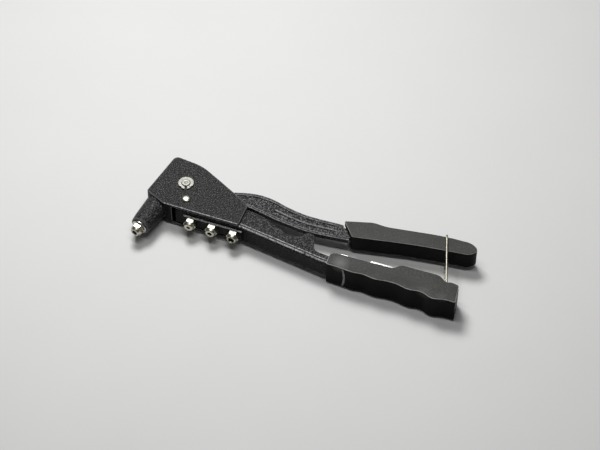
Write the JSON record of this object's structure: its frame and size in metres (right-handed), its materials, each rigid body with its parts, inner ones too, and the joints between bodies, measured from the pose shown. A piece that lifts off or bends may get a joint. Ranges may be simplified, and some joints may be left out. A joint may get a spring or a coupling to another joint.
{
  "type": "hand riveter",
  "caption": "Two-handled hand riveter lying on its side, with a tapered barrel and nosepiece, spare nosepieces under the head, ribbed lever, finger-shaped grips and a wire bail",
  "frame": {"origin": "middle of the bounding box at its underside, where the tool lies on its side", "axes": "+X along the tool from the head to the grip ends, +Z through its thickness, nose towards -Y"},
  "size_m": [0.2628, 0.0768, 0.0257],
  "materials": {
    "charcoal_paint": "fine hammered charcoal paint, satin",
    "lever_paint": "coarser hammered charcoal paint with a brighter sparkle",
    "black_plastic": "moulded matte black plastic with a fine grain",
    "nickel_plate": "bright nickel plate, slightly warm",
    "bare_steel": "turned bare steel",
    "hardened_steel": "dark hardened steel, lightly oiled"
  },
  "bodies": {
    "frame": {"head_housing": "charcoal_paint", "pivot_pin": "nickel_plate", "pivot_e_clip": "nickel_plate", "handle_rivet": "nickel_plate", "lower_handle": "charcoal_paint", "spare_nosepiece_strip": "charcoal_paint", "spare_nosepiece_1": "nickel_plate", "spare_nosepiece_2": "nickel_plate", "spare_nosepiece_3": "nickel_plate", "lower_grip": "black_plastic", "nosepiece_fitted": "nickel_plate", "barrel_bush": "bare_steel", "mandrel_guide": "bare_steel", "jaw_spring": "bare_steel", "bail_pin": "nickel_plate"},
    "lever": {"lever_arm": "lever_paint", "upper_grip": "black_plastic", "lever_bush": "bare_steel"},
    "jaw_train": {"jaw_case": "hardened_steel", "pull_tube": "hardened_steel"},
    "jaw_left": {"jaw_left": "hardened_steel"},
    "jaw_right": {"jaw_right": "hardened_steel"},
    "jaw_pusher": {"jaw_pusher": "bare_steel"},
    "bail": {"wire_bail": "nickel_plate"}
  },
  "joints": [
    {"name": "lever_hinge", "type": "hinge", "parent": "frame", "child": "lever", "pos_m": [-0.10246, 0.01371, 0.0126], "axis": [0, 0, 1], "range_deg": [-3, 40], "deforming": ["wire_bail"]},
    {"name": "jaw_train_slide", "type": "slide", "parent": "frame", "child": "jaw_train", "axis": [-0.1891, -0.982, 0], "range_m": [-0.0007, 0.008], "deforming": ["jaw_spring"]},
    {"name": "jaw_left_slide", "type": "slide", "parent": "jaw_train", "child": "jaw_left", "axis": [0.0016, 1, 0], "range_m": [-0.00015, 0.0016]},
    {"name": "jaw_right_slide", "type": "slide", "parent": "jaw_train", "child": "jaw_right", "axis": [0.3699, 0.9291, 0], "range_m": [-0.00015, 0.0016]},
    {"name": "jaw_pusher_slide", "type": "slide", "parent": "jaw_train", "child": "jaw_pusher", "axis": [0.1891, 0.982, 0], "range_m": [-0.00015, 0.0016]},
    {"name": "bail_hinge", "type": "hinge", "parent": "frame", "child": "bail", "pos_m": [0.12004, -0.01159, 0.0126], "axis": [0, 0, -1], "range_deg": [0, 95]}
  ],
  "couplings": [
    {"joint": "jaw_train_slide", "follows": "lever_hinge", "m_per_rad": 0.011268},
    {"joint": "jaw_left_slide", "follows": "lever_hinge", "m_per_rad": 0.002149},
    {"joint": "jaw_right_slide", "follows": "lever_hinge", "m_per_rad": 0.002149},
    {"joint": "jaw_pusher_slide", "follows": "lever_hinge", "m_per_rad": 0.00211}
  ]
}
